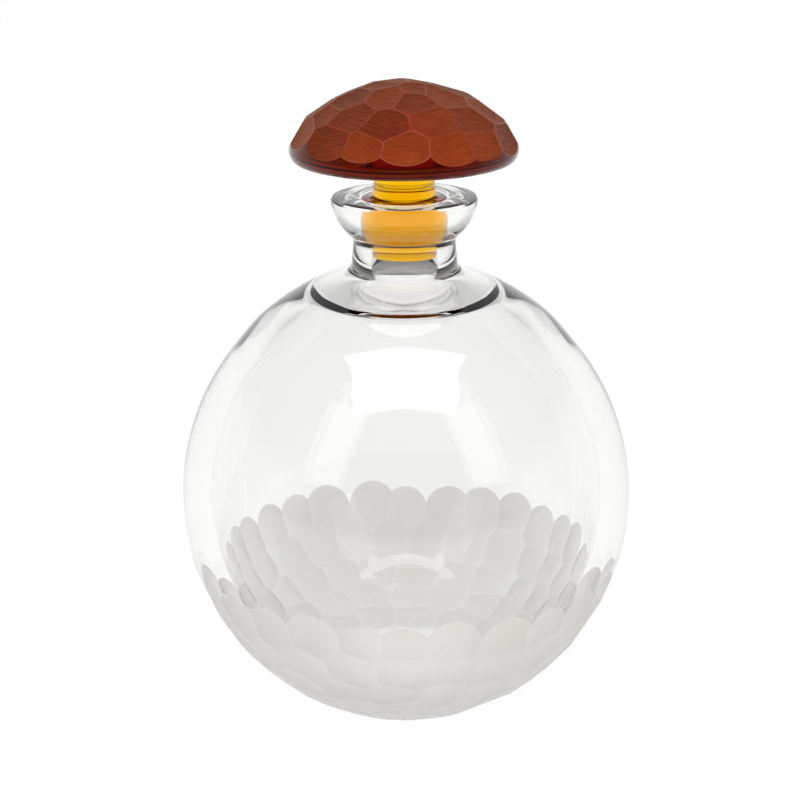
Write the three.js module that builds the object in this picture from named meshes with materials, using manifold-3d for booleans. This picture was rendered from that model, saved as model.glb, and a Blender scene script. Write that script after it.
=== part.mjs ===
// A round glass flacon with a wheel-cut stopper. Millimetres, +Z up, origin at the centre of the base.
import * as THREE from 'three';
import { mergeVertices } from 'three/addons/utils/BufferGeometryUtils.js';
import Module from 'manifold-3d';

const wasm = await Module();
wasm.setup();

// Driving dimensions of the bottle. Radii and heights are in millimetres.
const BODY_RADIUS = 50;
const BODY_HALF_HEIGHT = 51.5;
const BODY_CENTRE_Z = 47.6;
const WALL = 6.4;
const TOP_WALL = 5.9;
const FLOOR_Z = 9.5;
const FLOOR_BEND_Z = 16;
const WAIST_RADIUS = 11.2;
const WAIST_Z = 105.4;
const COLLAR_RADIUS = 11.7;
const COLLAR_Z = 100.6;
const LIP_RADIUS = 16;
const LIP_WIDEST_Z = 113.8;
const LIP_TOP_Z = 115;
const LIP_EDGE_ROUND = 0.8;
const MOUTH_BEVEL = 0.4;
const SHOULDER_JOIN_Z = 82;
const INNER_JOIN_Z = 78;

// Driving dimensions of the stopper.
const PLUG_TOP_RADIUS = 9.5;
const PLUG_END_RADIUS = 7.3;
const PLUG_TOP_Z = 114.8;
const PLUG_END_Z = 101.9;
const PLUG_BEVEL = 0.5;
const PLUG_STEP = [[7.4, 104.5], [7.6, 105.7], [8.9, 107.3], [9.1, 108.5]];
const STEM_RADIUS = 6.7;
const STEM_TOP_Z = 122.6;
const HEAD_RADIUS = 25;
const HEAD_WIDEST_Z = 125;
const HEAD_TOP_Z = 140.2;
const HEAD_FOOT_RADIUS = 23;
const HEAD_DOME_POWER = 1.8;

// The ground plug and its bore keep this gap, so that the stopper lifts without rubbing.
const FIT_GAP = 0.3;

// Mesh fineness.
const AROUND = 48;
const BODY_STEPS = 14;
const CURVE_STEPS = 9;

// Wheel-cut facets. A row is given by the height of its centre line, the number of cuts round it,
// the turn of the first cut in pitches, and how deep the flat of each cut goes below the round skin.
const BOTTLE_CUTS = [
  { z: 27.5, count: 28, turn: 0, depth: 0.45 },
  { z: 19.8, count: 25, turn: 0.6, depth: 0.45 },
  { z: 12.8, count: 22, turn: 0.1, depth: 0.45 },
  { z: 7, count: 18, turn: 0.5, depth: 0.45 },
  { z: 2.6, count: 14, turn: 0.2, depth: 0.45 },
];
const HEAD_CUTS = [
  { z: 129.4, count: 15, turn: 0.3, depth: 0.7 },
  { z: 134.3, count: 13, turn: 0.4, depth: 0.7 },
  { z: 137.9, count: 9, turn: 0.05, depth: 0.7 },
  { z: 139.8, count: 4, turn: 0.3, depth: 0.55 },
];
const CUT_SCATTER = 0.16;
const CUT_DEPTH_SCATTER = 0.15;
const CUTTER_SIZE = 24;

const GLASS = { color: 0xf4f6f4, roughness: 0.02, metalness: 0 };
const AMBER = { color: 0xb4520c, roughness: 0.05, metalness: 0 };

function bodyRadiusAt(z, radius = BODY_RADIUS, halfHeight = BODY_HALF_HEIGHT, centre = BODY_CENTRE_Z) {
  const t = (z - centre) / halfHeight;
  return radius * Math.sqrt(Math.max(0, 1 - t * t));
}

// Points of an upright ellipse from height z0 to height z1, spaced evenly by angle.
function ellipseArc(radius, halfHeight, centre, z0, z1, steps) {
  const a0 = Math.asin((z0 - centre) / halfHeight);
  const a1 = Math.asin((z1 - centre) / halfHeight);
  const points = [];
  for (let i = 0; i <= steps; i += 1) {
    const a = a0 + ((a1 - a0) * i) / steps;
    points.push(new THREE.Vector2(radius * Math.cos(a), centre + halfHeight * Math.sin(a)));
  }
  return points;
}

function smoothLine(points, steps) {
  return new THREE.SplineCurve(points.map(([r, z]) => new THREE.Vector2(r, z))).getPoints(steps);
}

function lathe(profile, around = AROUND) {
  const kept = profile.filter((p, i) => i === 0 || p.distanceTo(profile[i - 1]) > 0.02);
  const geometry = new THREE.LatheGeometry(kept, around);
  geometry.rotateX(Math.PI / 2);
  return geometry;
}

function toSolid(geometry) {
  const bare = geometry.clone();
  bare.deleteAttribute('normal');
  bare.deleteAttribute('uv');
  const merged = mergeVertices(bare.index ? bare : bare.toNonIndexed(), 1e-4);
  return new wasm.Manifold(new wasm.Mesh({
    numProp: 3,
    vertProperties: new Float32Array(merged.attributes.position.array),
    triVerts: new Uint32Array(merged.index.array),
  }));
}

function toGeometry(solid) {
  const mesh = solid.getMesh();
  const geometry = new THREE.BufferGeometry();
  geometry.setAttribute('position', new THREE.BufferAttribute(mesh.vertProperties, 3));
  geometry.setIndex(new THREE.BufferAttribute(mesh.triVerts, 1));
  return geometry;
}

// A repeatable scatter between -1 and 1 for cut number i of row k.
function scatter(k, i, salt) {
  const s = Math.sin(k * 12.9898 + i * 78.233 + salt * 37.719) * 43758.5453;
  return 2 * (s - Math.floor(s)) - 1;
}

// One block for each cut, its inner face tangent to the skin and set in by the depth of the cut.
function cutters(rows, radiusAt) {
  const blocks = [];
  rows.forEach((row, k) => {
    for (let i = 0; i < row.count; i += 1) {
      const pitch = (2 * Math.PI) / row.count;
      const angle = pitch * (i + row.turn + CUT_SCATTER * scatter(k, i, 1));
      const rowHeight = (Math.PI * radiusAt(row.z)) / row.count;
      const z = row.z + CUT_SCATTER * rowHeight * scatter(k, i, 2);
      const radius = radiusAt(z);
      const step = 0.05;
      const slope = (radiusAt(z + step) - radiusAt(z - step)) / (2 * step);
      const normal = new THREE.Vector3(Math.cos(angle), Math.sin(angle), -slope).normalize();
      const skin = new THREE.Vector3(radius * Math.cos(angle), radius * Math.sin(angle), z);
      const block = new THREE.BoxGeometry(CUTTER_SIZE, CUTTER_SIZE, CUTTER_SIZE);
      block.translate(0, 0, CUTTER_SIZE / 2);
      const turn = new THREE.Quaternion().setFromUnitVectors(new THREE.Vector3(0, 0, 1), normal);
      block.applyQuaternion(turn);
      const depth = row.depth * (1 + CUT_DEPTH_SCATTER * scatter(k, i, 3));
      const face = skin.addScaledVector(normal, -depth);
      block.translate(face.x, face.y, face.z);
      blocks.push(block);
    }
  });
  return blocks;
}

function wheelCut(geometry, rows, radiusAt) {
  return cutters(rows, radiusAt).reduce((solid, block) => solid.subtract(toSolid(block)), toSolid(geometry));
}

function bottleOutline() {
  const body = ellipseArc(BODY_RADIUS, BODY_HALF_HEIGHT, BODY_CENTRE_Z, 0, SHOULDER_JOIN_Z, BODY_STEPS);
  const shoulder = smoothLine([
    [bodyRadiusAt(SHOULDER_JOIN_Z), SHOULDER_JOIN_Z],
    [30, 89.3],
    [20.4, 95.4],
    [14.4, 98.1],
    [12.1, 99.4],
    [COLLAR_RADIUS, COLLAR_Z],
    [WAIST_RADIUS, WAIST_Z],
  ], 2 * CURVE_STEPS);
  const bowl = smoothLine([
    [WAIST_RADIUS, WAIST_Z],
    [12.3, 106.8],
    [14.5, 109.5],
    [15.7, 112.2],
    [LIP_RADIUS, LIP_WIDEST_Z],
    [LIP_RADIUS - 0.25, LIP_TOP_Z - 0.35],
    [LIP_RADIUS - LIP_EDGE_ROUND, LIP_TOP_Z],
  ], CURVE_STEPS);
  return [...body, ...shoulder, ...bowl];
}

function boreOutline() {
  const innerRadius = BODY_RADIUS - WALL;
  const innerHalfHeight = BODY_HALF_HEIGHT - TOP_WALL;
  const joinRadius = bodyRadiusAt(INNER_JOIN_Z, innerRadius, innerHalfHeight);
  const plugSide = [[PLUG_END_RADIUS, PLUG_END_Z], ...PLUG_STEP, [PLUG_TOP_RADIUS, LIP_TOP_Z - MOUTH_BEVEL]];
  const bore = plugSide.reverse().map(([r, z]) => new THREE.Vector2(r + FIT_GAP, z));
  const throat = smoothLine([
    [PLUG_END_RADIUS + FIT_GAP, 100.6],
    [7.7, 97],
    [7.9, 95.2],
    [8.5, 94],
    [10.2, 93],
    [13, 92],
    [16, 91],
    [18.4, 90.4],
    [19.4, 90.2],
    [20.8, 89.1],
    [22.4, 87.9],
    [26.4, 84.9],
    [29.4, 82],
    [joinRadius, INNER_JOIN_Z],
  ], 2 * CURVE_STEPS);
  const heights = [INNER_JOIN_Z, FLOOR_BEND_Z];
  const cavity = ellipseArc(innerRadius, innerHalfHeight, BODY_CENTRE_Z, ...heights, BODY_STEPS);
  const floor = [[28, 13.2], [24, 11.2], [18, 9.9], [9, FLOOR_Z], [0, FLOOR_Z]];
  return [
    new THREE.Vector2(PLUG_TOP_RADIUS + FIT_GAP + MOUTH_BEVEL, LIP_TOP_Z),
    ...bore,
    ...throat,
    ...cavity,
    ...floor.map(([r, z]) => new THREE.Vector2(r, z)),
  ];
}

function bottle() {
  const profile = [new THREE.Vector2(0, 0), ...bottleOutline(), ...boreOutline()];
  return wheelCut(lathe(profile), BOTTLE_CUTS, (z) => bodyRadiusAt(z));
}

function headRadiusAt(z) {
  const t = Math.min(1, Math.max(0, (z - HEAD_WIDEST_Z) / (HEAD_TOP_Z - HEAD_WIDEST_Z)));
  return HEAD_RADIUS * (1 - t ** HEAD_DOME_POWER) ** (1 / HEAD_DOME_POWER);
}

function head() {
  const foot = smoothLine([
    [HEAD_FOOT_RADIUS, STEM_TOP_Z],
    [24.3, 123],
    [HEAD_RADIUS, HEAD_WIDEST_Z],
  ], 5);
  const dome = [];
  for (let i = 1; i <= BODY_STEPS; i += 1) {
    const t = Math.sin((Math.PI / 2) * (i / BODY_STEPS));
    const z = HEAD_WIDEST_Z + (HEAD_TOP_Z - HEAD_WIDEST_Z) * t;
    dome.push(new THREE.Vector2(headRadiusAt(z), z));
  }
  dome[dome.length - 1].x = 0;
  const profile = [new THREE.Vector2(0, STEM_TOP_Z), ...foot, ...dome];
  return wheelCut(lathe(profile), HEAD_CUTS, headRadiusAt);
}

function plug() {
  const profile = [
    new THREE.Vector2(0, PLUG_END_Z),
    new THREE.Vector2(PLUG_END_RADIUS - PLUG_BEVEL, PLUG_END_Z),
    new THREE.Vector2(PLUG_END_RADIUS, PLUG_END_Z + PLUG_BEVEL),
    ...PLUG_STEP.map(([r, z]) => new THREE.Vector2(r, z)),
    new THREE.Vector2(PLUG_TOP_RADIUS, PLUG_TOP_Z),
    ...smoothLine([
      [PLUG_TOP_RADIUS - 0.4, PLUG_TOP_Z + 0.1],
      [STEM_RADIUS + 0.7, PLUG_TOP_Z + 0.3],
      [STEM_RADIUS, PLUG_TOP_Z + 1.2],
      [STEM_RADIUS, STEM_TOP_Z - FIT_GAP],
    ], 6),
    new THREE.Vector2(0, STEM_TOP_Z - FIT_GAP),
  ];
  return toSolid(lathe(profile));
}

function piece(name, solid, look) {
  const mesh = new THREE.Mesh(toGeometry(solid), new THREE.MeshStandardMaterial(look));
  mesh.name = name;
  return mesh;
}

const group = new THREE.Group();
group.add(piece('bottle', bottle(), GLASS));
group.add(piece('stopper_head', head(), AMBER));
group.add(piece('stopper_plug', plug(), AMBER));

export default group;
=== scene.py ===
import math

import bmesh
import bpy
import numpy as np
from mathutils import Matrix, Vector


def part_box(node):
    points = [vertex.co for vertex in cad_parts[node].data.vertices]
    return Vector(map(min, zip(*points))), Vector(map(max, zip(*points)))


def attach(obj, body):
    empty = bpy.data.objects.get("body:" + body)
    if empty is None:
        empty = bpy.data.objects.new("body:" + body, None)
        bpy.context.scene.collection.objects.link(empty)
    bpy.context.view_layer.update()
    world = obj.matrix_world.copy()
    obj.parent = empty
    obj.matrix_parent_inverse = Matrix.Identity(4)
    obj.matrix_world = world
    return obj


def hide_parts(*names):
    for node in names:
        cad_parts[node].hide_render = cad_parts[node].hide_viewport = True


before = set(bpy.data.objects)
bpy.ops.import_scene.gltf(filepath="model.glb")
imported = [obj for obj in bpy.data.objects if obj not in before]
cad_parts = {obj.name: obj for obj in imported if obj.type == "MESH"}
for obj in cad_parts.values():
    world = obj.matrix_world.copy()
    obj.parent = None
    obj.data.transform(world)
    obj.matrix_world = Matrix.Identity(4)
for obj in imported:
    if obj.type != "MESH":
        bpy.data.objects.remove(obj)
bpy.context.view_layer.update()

MM = 0.001

# ---------------------------------------------------------------- sizes, from the frame
bottle_low, bottle_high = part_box("bottle")
head_low, head_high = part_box("stopper_head")
plug_low, plug_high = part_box("stopper_plug")

BODY_RADIUS = (bottle_high.x - bottle_low.x) / 2
BODY_HALF_HEIGHT = BODY_RADIUS * 1.03
BASE_RADIUS = BODY_RADIUS * 0.382
BODY_CENTRE_Z = BODY_HALF_HEIGHT * math.sqrt(1 - (BASE_RADIUS / BODY_RADIUS) ** 2)
LIP_TOP = bottle_high.z
WALL = 6.4 * MM
TOP_WALL = 5.9 * MM
PLUG_TOP_RADIUS = (plug_high.x - plug_low.x) / 2
PLUG_END_RADIUS = PLUG_TOP_RADIUS - 2.2 * MM
PLUG_TOP = LIP_TOP - 0.2 * MM
PLUG_END = plug_low.z
GROUND_CONE = [
    (PLUG_END_RADIUS, PLUG_END + 0.7 * MM),
    (PLUG_END_RADIUS + 0.1 * MM, PLUG_END + 2.6 * MM),
    (PLUG_END_RADIUS + 0.3 * MM, PLUG_END + 3.8 * MM),
    (PLUG_TOP_RADIUS - 0.6 * MM, PLUG_END + 5.4 * MM),
    (PLUG_TOP_RADIUS - 0.4 * MM, PLUG_END + 6.6 * MM),
    (PLUG_TOP_RADIUS - 0.1 * MM, PLUG_TOP - 0.7 * MM),
]
STEM_RADIUS = 6.7 * MM
HEAD_RADIUS = (head_high.x - head_low.x) / 2
HEAD_FOOT = head_low.z
HEAD_WIDEST = HEAD_FOOT + 2.4 * MM
HEAD_TOP = head_high.z + 0.6 * MM
HEAD_POWER = 1.8
FIT_GAP = 0.1 * MM

AROUND = 240
OUTLINE_STEP = 1.0 * MM
ARC_STEP = 4 * MM
DOME_STEPS = 24
MERGE = 0.02 * MM

# Rows of wheel cuts: height of the centre line, cuts round the row, turn of the first one in
# pitches, and depth of the flat of each cut below the round skin.
BOTTLE_CUTS = [
    (27.5 * MM, 28, 0.0, 0.45 * MM),
    (19.8 * MM, 25, 0.6, 0.45 * MM),
    (12.8 * MM, 22, 0.1, 0.45 * MM),
    (7.0 * MM, 18, 0.5, 0.45 * MM),
    (2.6 * MM, 14, 0.2, 0.45 * MM),
]
HEAD_RISE = HEAD_TOP - HEAD_WIDEST
HEAD_CUTS = [
    (HEAD_WIDEST + 0.29 * HEAD_RISE, 15, 0.3, 0.7 * MM),
    (HEAD_WIDEST + 0.61 * HEAD_RISE, 13, 0.4, 0.7 * MM),
    (HEAD_WIDEST + 0.85 * HEAD_RISE, 9, 0.05, 0.7 * MM),
    (HEAD_WIDEST + 0.975 * HEAD_RISE, 4, 0.3, 0.55 * MM),
]
BOTTLE_CUTS_END = 38 * MM
CUT_SCATTER = 0.16
CUT_DEPTH_SCATTER = 0.15
DISH_DEPTH = 0.26 * MM
DISH_RINGS = (0.965, 0.8, 0.6, 0.4, 0.2)
DISH_TURN = 0.5
RIDGE_STEP = 0.9 * MM
SHARP_ANGLE = math.radians(25)

# How far apart the wheel marks of two cuts lie in the pattern, which keeps each cut's own.
CUT_SPACING = 10 * MM

# Material numbers of a piece. SPECIAL is the ground bore of the bottle and the rim of the head,
# where a dark tint paints the head's shade.
POLISHED, CUT, RIDGE, SPECIAL = range(4)


# ---------------------------------------------------------------- outlines
def body_arc(radius, half_height, z0, z1):
    """Points of an upright ellipse round the body's centre, from z0 to z1, evenly by angle."""
    a0 = math.asin((z0 - BODY_CENTRE_Z) / half_height)
    a1 = math.asin((z1 - BODY_CENTRE_Z) / half_height)
    count = round(abs(a1 - a0) * radius / ARC_STEP)
    angles = [a0 + (a1 - a0) * i / count for i in range(count + 1)]
    return [(radius * math.cos(a), BODY_CENTRE_Z + half_height * math.sin(a)) for a in angles]


def flowing(points):
    """A cubic B-spline guided by the points, from the first to the last, with even curvature."""
    first = (2 * points[0][0] - points[1][0], 2 * points[0][1] - points[1][1])
    last = (2 * points[-1][0] - points[-2][0], 2 * points[-1][1] - points[-2][1])
    guide = [first, *points, last]
    out = []
    for a, b, c, d in zip(guide, guide[1:], guide[2:], guide[3:]):
        steps = max(1, math.ceil(math.dist(b, c) / OUTLINE_STEP))
        for k in range(steps):
            t = k / steps
            wa = (1 - t) ** 3 / 6
            wb = (3 * t ** 3 - 6 * t ** 2 + 4) / 6
            wc = (-3 * t ** 3 + 3 * t ** 2 + 3 * t + 1) / 6
            wd = t ** 3 / 6
            out.append(tuple(wa * a[n] + wb * b[n] + wc * c[n] + wd * d[n] for n in (0, 1)))
    out.append(points[-1])
    return out


def mm(points):
    return [(r * MM, z * MM) for r, z in points]


def body_radius(z):
    t = (z - BODY_CENTRE_Z) / BODY_HALF_HEIGHT
    return BODY_RADIUS * math.sqrt(max(0.0, 1 - t * t))


def bottle_outline():
    """From the centre of the foot, up the outside, over the lip and down inside to the floor."""
    outside = body_arc(BODY_RADIUS, BODY_HALF_HEIGHT, 0, 82 * MM)
    shoulder = mm([(33.6, 86.4), (30.1, 89.4), (25.5, 92.7), (20.6, 95.5), (16.6, 97.3)])
    neck = mm([(13.6, 98.2), (12.0, 98.9), (11.6, 100.0), (11.5, 101.6), (11.3, 103.6)])
    bowl = mm([(11.1, 105.2), (11.6, 106.3), (12.7, 107.3), (13.9, 108.6), (14.9, 110.2)])
    lip = mm([(15.6, 112.0), (15.98, 113.6), (16.05, 114.4), (15.75, 114.95), (14.9, 115.0)])
    mouth = mm([(12.5, 115.0), (10.2, 115.0), (9.6, 114.9)])
    bore = [(r + FIT_GAP, z) for r, z in reversed(GROUND_CONE)]
    throat = mm([(7.4, 100.6), (7.5, 97.0), (7.7, 95.2), (8.3, 94.0), (10.0, 93.0)])
    ledge = mm([(13.0, 92.0), (16.0, 91.0), (17.0, 90.62), (17.6, 90.45), (18.4, 90.38)])
    ceiling = mm([(19.2, 90.3), (20.0, 89.8), (20.8, 89.15), (22.4, 87.9), (26.4, 84.95)])
    arc = body_arc(BODY_RADIUS - WALL, BODY_HALF_HEIGHT - TOP_WALL, 78 * MM, 16 * MM)
    inside = [(29.4 * MM, 82.0 * MM), *arc]
    floor = mm([(28.0, 13.2), (24.0, 11.2), (18.0, 9.9), (9.0, 9.5)]) + [(0.0, 9.5 * MM)]
    outer = [*outside, *shoulder, *neck, *bowl, *lip, *mouth]
    inner = [*bore, *throat, *ledge, *ceiling, *inside, *floor]
    return [(0.0, 0.0), (BASE_RADIUS * 0.5, 0.0), *flowing([*outer, *inner])]


def head_radius(z):
    t = min(1.0, max(0.0, (z - HEAD_WIDEST) / (HEAD_TOP - HEAD_WIDEST)))
    return HEAD_RADIUS * (1 - t ** HEAD_POWER) ** (1 / HEAD_POWER)


def stopper_outline():
    """From the centre of the peg's end, up the peg and stem, under the head and over the dome."""
    end = [(0.0, PLUG_END), (PLUG_END_RADIUS * 0.6, PLUG_END)]
    peg = [
        (PLUG_END_RADIUS - 0.5 * MM, PLUG_END),
        (PLUG_END_RADIUS - 0.1 * MM, PLUG_END + 0.2 * MM),
        *GROUND_CONE,
        (PLUG_TOP_RADIUS - 0.1 * MM, PLUG_TOP - 0.2 * MM),
        (PLUG_TOP_RADIUS - 0.4 * MM, PLUG_TOP),
        (PLUG_TOP_RADIUS - 1.0 * MM, PLUG_TOP + 0.02 * MM),
        (STEM_RADIUS + 0.7 * MM, PLUG_TOP + 0.1 * MM),
        (STEM_RADIUS + 0.1 * MM, PLUG_TOP + 0.5 * MM),
        (STEM_RADIUS, PLUG_TOP + 1.2 * MM),
        (STEM_RADIUS, PLUG_TOP + 4 * MM),
        (STEM_RADIUS, HEAD_FOOT - 1.2 * MM),
        (STEM_RADIUS + 0.4 * MM, HEAD_FOOT - 0.2 * MM),
        (STEM_RADIUS + 1.4 * MM, HEAD_FOOT),
    ]
    under = [
        (14 * MM, HEAD_FOOT),
        (21 * MM, HEAD_FOOT),
        (23.2 * MM, HEAD_FOOT + 0.1 * MM),
        (24.4 * MM, HEAD_FOOT + 0.7 * MM),
    ]
    dome = []
    for i in range(1, DOME_STEPS):
        z = HEAD_WIDEST + (HEAD_TOP - HEAD_WIDEST) * math.sin(math.pi / 2 * i / DOME_STEPS)
        dome.append((head_radius(z), z))
    skin = flowing([*peg, *under, (HEAD_RADIUS, HEAD_WIDEST), *dome])
    return [*end, *skin, (0.0, HEAD_TOP)]


# ---------------------------------------------------------------- mesh tools
def lathe(outline):
    """A surface of rings, one for each point of the outline. A point on the axis is one vertex."""
    bm = bmesh.new()
    kept = [p for i, p in enumerate(outline) if i == 0 or math.dist(p, outline[i - 1]) > MERGE]
    turns = [2 * math.pi * i / AROUND for i in range(AROUND)]
    rings = []
    for r, z in kept:
        if r < 1e-6:
            rings.append([bm.verts.new((0, 0, z))])
        else:
            rings.append([bm.verts.new((r * math.cos(a), r * math.sin(a), z)) for a in turns])
    for low, high in zip(rings, rings[1:]):
        for i in range(AROUND):
            j = (i + 1) % AROUND
            around = ((low, i), (low, j), (high, j), (high, i))
            corners = [ring[n % len(ring)] for ring, n in around]
            bm.faces.new(list(dict.fromkeys(corners)))
    return bm


def scatter(k, i, salt):
    """A repeatable scatter between -1 and 1 for cut number i of row k."""
    s = math.sin(k * 12.9898 + i * 78.233 + salt * 37.719) * 43758.5453
    return 2 * (s - math.floor(s)) - 1


def cut_planes(rows, radius_at):
    """(point, outward normal) of each wheel cut."""
    planes = []
    for k, (row_z, count, turn, depth) in enumerate(rows):
        for i in range(count):
            angle = 2 * math.pi / count * (i + turn + CUT_SCATTER * scatter(k, i, 1))
            row_height = math.pi * radius_at(row_z) / count
            z = row_z + CUT_SCATTER * row_height * scatter(k, i, 2)
            step = 0.05 * MM
            slope = (radius_at(z + step) - radius_at(z - step)) / (2 * step)
            normal = Vector((math.cos(angle), math.sin(angle), -slope)).normalized()
            skin = Vector((radius_at(z) * math.cos(angle), radius_at(z) * math.sin(angle), z))
            own_depth = 1 + CUT_DEPTH_SCATTER * scatter(k, i, 3)
            planes.append((skin - normal * depth * own_depth, normal))
    return planes


def cut_flat(bm, point, normal):
    """Slices off what lies beyond the plane and closes the slice with one face."""
    places = np.array([v.co for v in bm.verts])
    beyond = (places - np.array(point)) @ np.array(normal) > -1e-7
    bm.verts.ensure_lookup_table()
    verts = [bm.verts[i] for i in np.nonzero(beyond)[0]]
    faces = list(dict.fromkeys(f for v in verts for f in v.link_faces))
    edges = list(dict.fromkeys(e for f in faces for e in f.edges))
    around = list(dict.fromkeys(v for f in faces for v in f.verts))
    found = bmesh.ops.bisect_plane(
        bm,
        geom=[*around, *edges, *faces],
        dist=1e-8,
        plane_co=point,
        plane_no=normal,
        clear_outer=True,
    )
    sliced = [g for g in found["geom_cut"] if isinstance(g, bmesh.types.BMEdge)]
    rim = [edge for edge in sliced if len(edge.link_faces) == 1]
    for face in bmesh.ops.holes_fill(bm, edges=rim, sides=0)["faces"]:
        face.material_index = CUT


def dish(bm, face, layer, number):
    """Turns a flat cut into a shallow dish of rings round its middle."""
    centre = face.calc_center_median_weighted()
    normal = face.normal.copy()
    rim = [loop.vert for loop in face.loops]
    flat = normal.cross(Vector((0, 0, 1))).normalized()
    turn = Matrix.Rotation(DISH_TURN * scatter(number, 3, 5), 3, normal)
    along, across = turn @ flat, turn @ normal.cross(flat)
    shift = Vector((scatter(number, 1, 7), scatter(number, 2, 8), number)) * CUT_SPACING
    bm.faces.remove(face)
    made = []
    outer = rim
    count = len(rim)
    for scale in DISH_RINGS:
        drop = normal * DISH_DEPTH * (1 - scale ** 2)
        inner = [bm.verts.new(centre + (v.co - centre) * scale - drop) for v in rim]
        for i in range(count):
            j = (i + 1) % count
            made.append(bm.faces.new((outer[i], outer[j], inner[j], inner[i])))
        outer = inner
    hub = bm.verts.new(centre - normal * DISH_DEPTH)
    made += [bm.faces.new((outer[i], outer[(i + 1) % count], hub)) for i in range(count)]
    for i, new_face in enumerate(made):
        # The outermost ring of each dish takes the ridge material; on the stopper this paints a
        # highlight along every ridge.
        new_face.material_index = RIDGE if i < count else CUT
        for loop in new_face.loops:
            place = loop.vert.co - centre
            loop[layer] = Vector((place.dot(along), place.dot(across), 0)) + shift


def split_ridges(bm):
    """Extra points along the straight ridges, so that each cut can be dished between them."""
    for edge in [e for e in bm.edges if all(f.material_index == CUT for f in e.link_faces)]:
        pieces = math.ceil(edge.calc_length() / RIDGE_STEP)
        rest, start = edge, edge.verts[0]
        for left in range(pieces, 1, -1):
            middle = bmesh.utils.edge_split(rest, start, 1 / left)[1]
            rest = next(e for e in middle.link_edges if start not in e.verts)
            start = middle


def wheel_cut(bm, rows, radius_at):
    """Cuts every row, then dishes each cut. The layer "cut" places the wheel marks on it."""
    for point, normal in cut_planes(rows, radius_at):
        cut_flat(bm, point, normal)
    split_ridges(bm)
    layer = bm.loops.layers.float_vector.new("cut")
    bm.normal_update()
    for number, face in enumerate([f for f in bm.faces if f.material_index == CUT]):
        dish(bm, face, layer, number)


def cut_lathe(outline, rows, radius_at, low, high):
    """A lathe solid with wheel cuts in its skin between two heights."""
    last = len(outline) - 1
    start = next(i for i, p in enumerate(outline) if p[1] > low) if low else 0
    end = next(i for i in range(start + 1, last + 1) if outline[i][1] > high or i == last)
    skin = lathe(outline[start : end + 1])
    wheel_cut(skin, rows, radius_at)
    for rest in (outline[: start + 1], outline[end:]):
        if len(rest) > 1:
            plain = lathe(rest)
            mesh = bpy.data.meshes.new("rest")
            plain.to_mesh(mesh)
            plain.free()
            skin.from_mesh(mesh)
            bpy.data.meshes.remove(mesh)
    bmesh.ops.remove_doubles(skin, verts=[v for v in skin.verts if v.is_boundary], dist=1e-6)
    return skin


def to_piece(bm, name, materials):
    """A smooth piece with a sharp edge where cut and polished glass meet, and at each corner."""
    mesh = bpy.data.meshes.new(name)
    bm.normal_update()
    for face in bm.faces:
        face.smooth = True
    for edge in bm.edges:
        brushed = {f.material_index in (CUT, RIDGE) for f in edge.link_faces}
        gentle = True in brushed or edge.calc_face_angle(0.0) < SHARP_ANGLE
        edge.smooth = len(brushed) == 1 and gentle
    bm.to_mesh(mesh)
    bm.free()
    for material in materials:
        mesh.materials.append(material)
    piece = bpy.data.objects.new(name, mesh)
    bpy.context.scene.collection.objects.link(piece)
    return piece


# ---------------------------------------------------------------- node tools
def feed(links, socket, value):
    """Sets a node's input to a number, or links a socket to it."""
    if isinstance(value, (int, float)):
        socket.default_value = value
    else:
        links.new(value, socket)


def math_node(nodes, links, operation, *values):
    """A Math node. Each value is a number or a socket."""
    node = nodes.new("ShaderNodeMath")
    node.operation = operation
    for socket, value in zip(node.inputs, values):
        feed(links, socket, value)
    return node.outputs["Value"]


def between(nodes, links, value, low, high, at_low, at_high):
    """Runs smoothly from at_low to at_high as value goes from low to high."""
    node = nodes.new("ShaderNodeMapRange")
    node.interpolation_type = "SMOOTHSTEP"
    node.inputs["From Min"].default_value = low
    node.inputs["From Max"].default_value = high
    node.inputs["To Min"].default_value = at_low
    node.inputs["To Max"].default_value = at_high
    links.new(value, node.inputs["Value"])
    return node.outputs["Result"]


def mixed(nodes, links, share, low, high):
    """low where share is 0, high where it is 1. Either may be a number or a socket."""
    node = nodes.new("ShaderNodeMix")
    links.new(share, node.inputs["Factor"])
    feed(links, node.inputs["A"], low)
    feed(links, node.inputs["B"], high)
    return node.outputs["Result"]


# ---------------------------------------------------------------- materials
GLASS_IOR = 1.52
AMBER_ABSORB = (0.994, 0.885, 0.02)
AMBER_DENSITY = 420
WAVE_SCALE = 45
WAVE_HEIGHT = 0.003 * MM

# Wheel marks: their scale along, across and through a cut, the range of the noise that goes from
# dark to light, and how much of that range is one shade for the whole cut.
STREAK_SCALE = (260, 2600, 1000)
SHADE_RANGE = (0.4, 0.95)
OWN_SHADE = 0.3


def new_material(name):
    material = bpy.data.materials.new(name)
    material.use_nodes = True
    material.node_tree.nodes.clear()
    return material, material.node_tree.nodes, material.node_tree.links


def glass(name, roughness, tint=(1, 1, 1), glint=(1, 1, 1), amber=False, through=1.0):
    """Polished or ground glass. What doesn't pass through it is scattered in its tint."""
    material, nodes, links = new_material(name)
    out = nodes.new("ShaderNodeOutputMaterial")
    surface = nodes.new("ShaderNodeBsdfPrincipled")
    surface.inputs["Base Color"].default_value = (*tint, 1)
    surface.inputs["Roughness"].default_value = roughness
    surface.inputs["IOR"].default_value = GLASS_IOR
    surface.inputs["Transmission Weight"].default_value = through
    surface.inputs["Specular Tint"].default_value = (*glint, 1)
    links.new(surface.outputs["BSDF"], out.inputs["Surface"])
    if amber:
        volume = nodes.new("ShaderNodeVolumeAbsorption")
        volume.inputs["Color"].default_value = (*AMBER_ABSORB, 1)
        volume.inputs["Density"].default_value = AMBER_DENSITY
        links.new(volume.outputs["Volume"], out.inputs["Volume"])
    return material


def add_bump(material, height, distance):
    nodes, links = material.node_tree.nodes, material.node_tree.links
    bump = nodes.new("ShaderNodeBump")
    bump.inputs["Strength"].default_value = 1
    bump.inputs["Distance"].default_value = distance
    links.new(height, bump.inputs["Height"])
    links.new(bump.outputs["Normal"], nodes["Principled BSDF"].inputs["Normal"])


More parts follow.
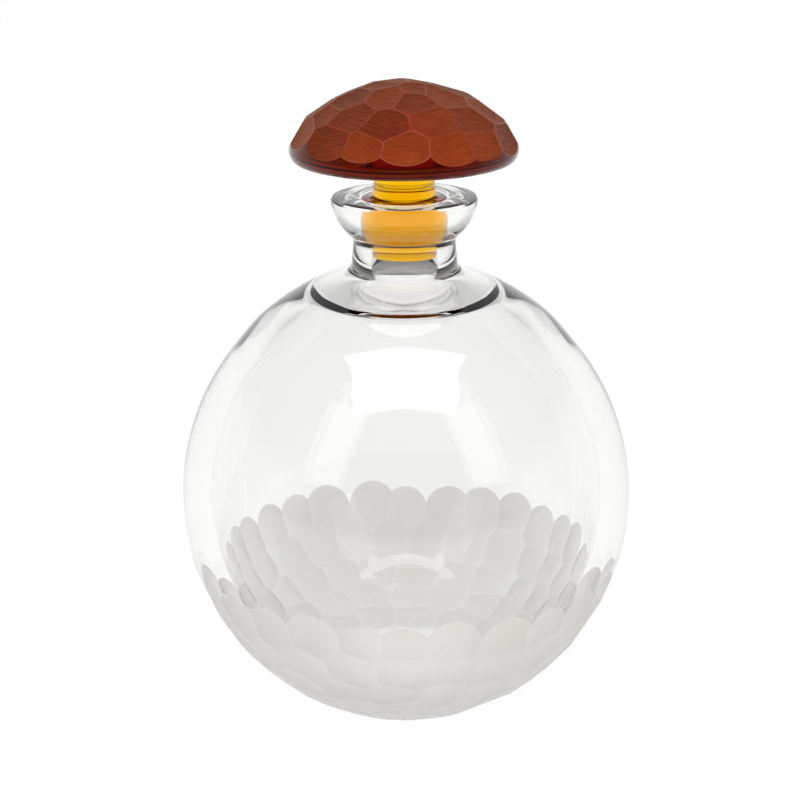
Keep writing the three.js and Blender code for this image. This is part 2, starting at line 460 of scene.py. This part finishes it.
def add_waves(material):
    """The slow unevenness of hand-finished glass."""
    nodes, links = material.node_tree.nodes, material.node_tree.links
    place = nodes.new("ShaderNodeTexCoord")
    slow = nodes.new("ShaderNodeTexNoise")
    slow.inputs["Scale"].default_value = WAVE_SCALE
    slow.inputs["Detail"].default_value = 1
    links.new(place.outputs["Object"], slow.inputs["Vector"])
    add_bump(material, slow.outputs["Fac"], WAVE_HEIGHT)


def add_brushing(material, dark, light, distance):
    """Fine parallel wheel marks in relief and in shade, and a shade of its own for each cut."""
    nodes, links = material.node_tree.nodes, material.node_tree.links
    cut = nodes.new("ShaderNodeAttribute")
    cut.attribute_name = "cut"
    stretch = nodes.new("ShaderNodeMapping")
    stretch.inputs["Scale"].default_value = STREAK_SCALE
    streaks = nodes.new("ShaderNodeTexNoise")
    streaks.inputs["Scale"].default_value = 1
    streaks.inputs["Detail"].default_value = 3
    streaks.inputs["Roughness"].default_value = 0.65
    split = nodes.new("ShaderNodeSeparateXYZ")
    links.new(cut.outputs["Vector"], split.inputs["Vector"])
    number = math_node(nodes, links, "MULTIPLY_ADD", split.outputs["Z"], 1 / CUT_SPACING, 0.5)
    number = math_node(nodes, links, "FLOOR", number)
    own = nodes.new("ShaderNodeTexWhiteNoise")
    own.noise_dimensions = "1D"
    links.new(number, own.inputs["W"])
    share, marks = own.outputs["Value"], streaks.outputs["Fac"]
    shade = math_node(nodes, links, "MULTIPLY_ADD", share, OWN_SHADE, marks)
    ramp = nodes.new("ShaderNodeValToRGB")
    for stop, position, colour in zip(ramp.color_ramp.elements, SHADE_RANGE, (dark, light)):
        stop.position = position
        stop.color = (*colour, 1)
    links.new(cut.outputs["Vector"], stretch.inputs["Vector"])
    links.new(stretch.outputs["Vector"], streaks.inputs["Vector"])
    links.new(shade, ramp.inputs["Fac"])
    links.new(ramp.outputs["Color"], nodes["Principled BSDF"].inputs["Base Color"])
    add_bump(material, marks, distance)


clear_polished = glass("clear_polished", 0.0, tint=(0.965, 0.967, 0.955))
add_waves(clear_polished)
clear_bore = glass("clear_bore", 0.0, glint=(0.1, 0.1, 0.1))
add_waves(clear_bore)
clear_frosted = glass("clear_frosted", 0.5, through=0.62)
add_brushing(clear_frosted, (0.93, 0.89, 0.86), (1.0, 0.98, 0.955), 0.015 * MM)
clear_ridge = glass("clear_ridge", 0.4, tint=(0.97, 0.96, 0.95), through=0.7)
amber_polished = glass("amber_polished", 0.0, glint=(0.3, 0.2, 0.1), amber=True)
add_waves(amber_polished)
# The brown colours of the stopper's cuts are partly the amber's own colour and partly painted
# shade, which darkens the head beyond what its glass gives.
amber_satin = glass("amber_satin", 0.6, glint=(0.3, 0.18, 0.1), amber=True, through=0.93)
add_brushing(amber_satin, (0.18, 0.07, 0.01), (0.8, 0.42, 0.1), 0.03 * MM)
# The ridge rings of the stopper's cuts take a lighter tint and a stronger glint: a painted
# highlight along each ridge.
amber_ridge_painted_highlight = glass("amber_ridge_painted_highlight", 0.35, tint=(1.0, 0.7, 0.4), glint=(1.0, 0.7, 0.45), amber=True)
# The underside and rim of the head take a dark tint: painted shade that darkens the whole head
# while the stem of the same glass stays bright.
amber_rim_painted_shade = glass("amber_rim_painted_shade", 0.0, tint=(0.17, 0.09, 0.025), glint=(0.2, 0.12, 0.1), amber=True)
add_waves(amber_rim_painted_shade)

# ---------------------------------------------------------------- pieces
# A face less than SKIN_DEPTH inside the body's outline is on the outside of the bottle.
SKIN_DEPTH = 1.5 * MM

bottle_bm = cut_lathe(bottle_outline(), BOTTLE_CUTS, body_radius, 0, BOTTLE_CUTS_END)
for face in bottle_bm.faces:
    middle = face.calc_center_median()
    outside = middle.xy.length > body_radius(middle.z) - SKIN_DEPTH
    if face.material_index == POLISHED and outside and 0 < middle.z < BOTTLE_CUTS[0][0]:
        face.material_index = RIDGE
    in_bore = middle.xy.length < PLUG_TOP_RADIUS + FIT_GAP
    if in_bore and PLUG_END < middle.z < LIP_TOP - 0.1 * MM:
        face.material_index = SPECIAL
clear_glass = [clear_polished, clear_frosted, clear_ridge, clear_bore]
bottle = to_piece(bottle_bm, "bottle_glass", clear_glass)
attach(bottle, "bottle")
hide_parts("bottle")

HEAD_CUTS_START = HEAD_WIDEST - 0.5 * MM
stopper_bm = cut_lathe(stopper_outline(), HEAD_CUTS, head_radius, HEAD_CUTS_START, HEAD_TOP)
# The polished underside and rim of the head take the SPECIAL material, whose dark tint is painted
# shade.
for face in stopper_bm.faces:
    middle = face.calc_center_median()
    on_head = middle.z > HEAD_FOOT - 0.1 * MM and middle.xy.length > STEM_RADIUS + MM
    if face.material_index == POLISHED and on_head:
        face.material_index = SPECIAL
amber_glass = [amber_polished, amber_satin, amber_ridge_painted_highlight, amber_rim_painted_shade]
stopper = to_piece(stopper_bm, "stopper_glass", amber_glass)
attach(stopper, "stopper")
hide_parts("stopper_head", "stopper_plug")

# ---------------------------------------------------------------- stage
TABLE = 3.0

# The table glows as the white of a light table does. It is dimmer in front, from Y = TABLE_LIT
# out to TABLE_DIM, where only the glass shows it.
GLOW = 0.95
FRONT_GLOW = 0.25
TABLE_LIT = -0.22
TABLE_DIM = -0.5

floor_mesh = bpy.data.meshes.new("floor")
corners = [(-TABLE, -TABLE), (TABLE, -TABLE), (TABLE, TABLE), (-TABLE, TABLE)]
floor_mesh.from_pydata([(x, y, -0.1 * MM) for x, y in corners], [], [(0, 1, 2, 3)])
floor_material, nodes, links = new_material("floor")
floor_surface = nodes.new("ShaderNodeBsdfPrincipled")
floor_surface.inputs["Base Color"].default_value = (0.06, 0.06, 0.06, 1)
floor_surface.inputs["Roughness"].default_value = 1
floor_surface.inputs["Specular IOR Level"].default_value = 0
floor_surface.inputs["Emission Color"].default_value = (1, 1, 1, 1)
place = nodes.new("ShaderNodeNewGeometry")
split = nodes.new("ShaderNodeSeparateXYZ")
links.new(place.outputs["Position"], split.inputs["Vector"])
glow = between(nodes, links, split.outputs["Y"], TABLE_DIM, TABLE_LIT, FRONT_GLOW, GLOW)
path = nodes.new("ShaderNodeLightPath")
glow = mixed(nodes, links, path.outputs["Is Camera Ray"], glow, GLOW)
links.new(glow, floor_surface.inputs["Emission Strength"])
floor_out = nodes.new("ShaderNodeOutputMaterial")
links.new(floor_surface.outputs["BSDF"], floor_out.inputs["Surface"])
floor_mesh.materials.append(floor_material)
floor = bpy.data.objects.new("floor", floor_mesh)
bpy.context.scene.collection.objects.link(floor)


def softbox(name, place, aim, width, height, radiance):
    """An even rectangular light, width by height metres, that faces the point aim."""
    data = bpy.data.lights.new(name, "AREA")
    data.shape = "RECTANGLE"
    data.size, data.size_y = width, height
    data.energy = radiance * math.pi * width * height
    lamp = bpy.data.objects.new(name, data)
    lamp.location = place
    lamp.rotation_euler = (Vector(place) - Vector(aim)).to_track_quat("Z", "Y").to_euler()
    bpy.context.scene.collection.objects.link(lamp)


BODY_CENTRE = (0, 0, BODY_CENTRE_Z)
softbox("top_softbox", (0, -0.38, 1.05), (0, -0.38, 0), 1.04, 0.6, 3.0)
softbox("left_panel", (-0.95, -0.95, 0.9), BODY_CENTRE, 0.55, 1.1, 1.0)
softbox("right_panel", (0.95, -0.95, 0.9), BODY_CENTRE, 0.55, 1.1, 1.0)

# The room is white round the horizon, and dimmer in front and overhead. Its edges are parts of a
# unit direction: Y is negative in front, and Z is the height.
SKY_TOP = 0.6
SKY_HORIZON = 1.0
SKY_FRONT = 0.35
SKY_ON_TABLE = 0.6
FRONT_EDGES = (-0.8, -0.2)
TOP_EDGES = (0.12, 0.4)

world = bpy.data.worlds.new("studio")
world.use_nodes = True
bpy.context.scene.world = world
nodes, links = world.node_tree.nodes, world.node_tree.links
direction = nodes.new("ShaderNodeTexCoord")
split = nodes.new("ShaderNodeSeparateXYZ")
links.new(direction.outputs["Generated"], split.inputs["Vector"])
ring = between(nodes, links, split.outputs["Y"], *FRONT_EDGES, SKY_FRONT, SKY_HORIZON)
height = between(nodes, links, split.outputs["Z"], *TOP_EDGES, 0, 1)
room = mixed(nodes, links, height, ring, SKY_TOP)
path = nodes.new("ShaderNodeLightPath")
room = mixed(nodes, links, path.outputs["Is Diffuse Ray"], room, SKY_ON_TABLE)
room = mixed(nodes, links, path.outputs["Is Camera Ray"], room, 1.0)
links.new(room, nodes["Background"].inputs["Strength"])
nodes["Background"].inputs["Color"].default_value = (1, 1, 1, 1)

bpy.context.scene.view_settings.view_transform = "Standard"

# ---------------------------------------------------------------- camera
CAMERA_BACK = 551 * MM
CAMERA_RISE = 182 * MM
CAMERA_SIDE = -1.2 * MM
CAMERA_PITCH = math.radians(16.27)
CAMERA_ROLL = math.radians(0.37)
CAMERA_LENS = 116.2
CAMERA_SENSOR = 36
camera_data = bpy.data.cameras.new("camera")
camera_data.sensor_width = CAMERA_SENSOR
camera_data.lens = CAMERA_LENS
camera = bpy.data.objects.new("camera", camera_data)
camera.matrix_world = (
    Matrix.Translation((CAMERA_SIDE, -CAMERA_BACK, BODY_CENTRE_Z + CAMERA_RISE))
    @ Matrix.Rotation(math.pi / 2 - CAMERA_PITCH, 4, "X")
    @ Matrix.Rotation(-CAMERA_ROLL, 4, "Z")
)
bpy.context.scene.collection.objects.link(camera)
bpy.context.scene.camera = camera
